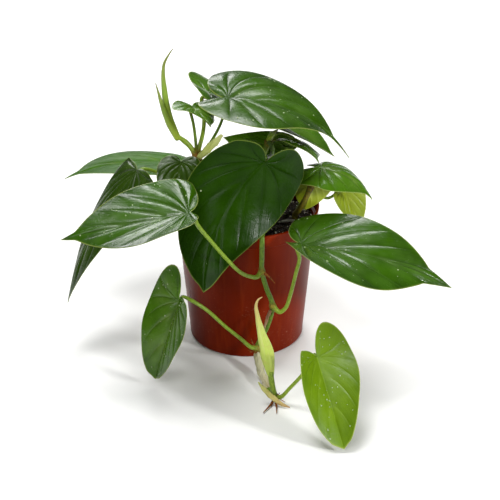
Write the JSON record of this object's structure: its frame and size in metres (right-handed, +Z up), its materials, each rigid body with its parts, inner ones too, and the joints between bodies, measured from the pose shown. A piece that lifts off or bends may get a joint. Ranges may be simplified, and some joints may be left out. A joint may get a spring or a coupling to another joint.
{
  "type": "potted heartleaf philodendron",
  "caption": "Leafy climbing house plant with glossy heart-shaped leaves in a round nursery pot, with a stem trailing over the rim.",
  "frame": {"origin": "the middle of the pot's underside, on the surface it stands on", "axes": "+Z up, -Y towards the front, where the stem trails over the rim"},
  "size_m": [0.3293, 0.2937, 0.2672],
  "materials": {
    "pot_plastic": "thin glossy red-brown moulded plastic",
    "potting_soil": "dark loose potting soil with white perlite grains",
    "stem": "smooth green plant stem",
    "leaf": "glossy deep green leaf with sunken veins and a pale margin",
    "young_leaf": "glossy yellow-green young leaf",
    "bud_scale": "pale green bud scale with a pink-brown tip",
    "papery_sheath": "thin pale papery sheath",
    "dried_sheath": "dry brown sheath"
  },
  "bodies": {
    "root": {"pot": "pot_plastic", "soil": "potting_soil", "dried_strip": "dried_sheath", "trailing_stem": "stem", "crown_stem": "stem", "rear_stem": "stem", "right_stem": "stem", "left_stem": "stem", "crown_shoot": "bud_scale", "crown_sheath": "papery_sheath", "rear_bud": "papery_sheath", "trailing_shoot": "bud_scale", "trailing_papery_sheath": "papery_sheath", "trailing_tip_sheath": "bud_scale", "trailing_dried_sheath": "dried_sheath", "leaf_front_left": "leaf", "leaf_front_right": "leaf", "leaf_low_left": "young_leaf", "leaf_low_front": "young_leaf", "leaf_centre": "leaf", "leaf_top": "leaf", "leaf_top_behind": "leaf", "leaf_top_small": "leaf", "leaf_behind_right": "leaf", "leaf_right": "leaf", "leaf_behind_centre": "leaf", "leaf_right_hanging": "young_leaf", "leaf_far_right_hanging": "young_leaf", "leaf_centre_left": "leaf", "leaf_rear_left": "leaf", "leaf_far_left": "leaf"}
  },
  "joints": []
}
